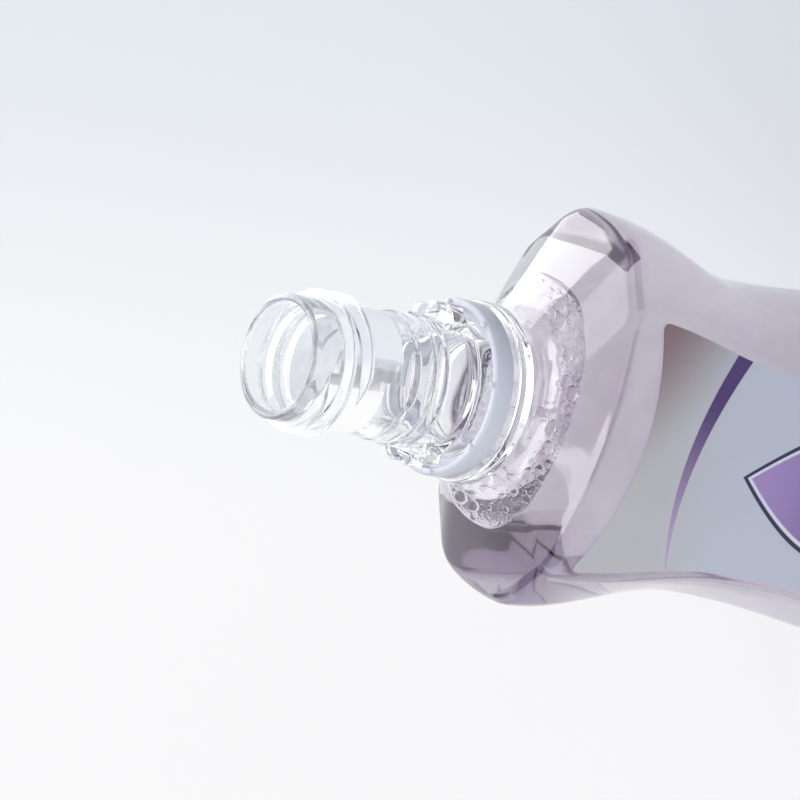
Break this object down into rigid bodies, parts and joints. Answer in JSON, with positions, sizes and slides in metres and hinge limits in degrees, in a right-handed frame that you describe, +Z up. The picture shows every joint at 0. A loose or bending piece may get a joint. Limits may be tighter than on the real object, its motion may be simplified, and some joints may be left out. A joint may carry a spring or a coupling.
{
  "type": "mouthwash bottle",
  "caption": "Clear waisted mouthwash bottle, open, with a long threaded neck, ratchet teeth, a loose tamper band, film labels and lavender liquid.",
  "frame": {"origin": "centre of the base, on the surface that the bottle stands on", "axes": "+Z up along the neck to the mouth, X across the width, -Y towards the front label"},
  "size_m": [0.0788, 0.0484, 0.2],
  "materials": {
    "clear_pet": "clear blow-moulded PET, glossy",
    "white_pp": "satin translucent white polypropylene",
    "label_film": "satin silver film with violet print",
    "liquid": "clear pale lavender liquid"
  },
  "bodies": {
    "bottle": {"bottle": "clear_pet", "front_label": "label_film", "back_label": "label_film", "mouthwash": "liquid"},
    "band": {"tamper_band": "white_pp"}
  },
  "joints": [
    {"name": "band_spin", "type": "hinge", "parent": "bottle", "child": "band", "pos_m": [0, 0, 0.1591], "axis": [0, 0, 1], "continuous": true}
  ]
}
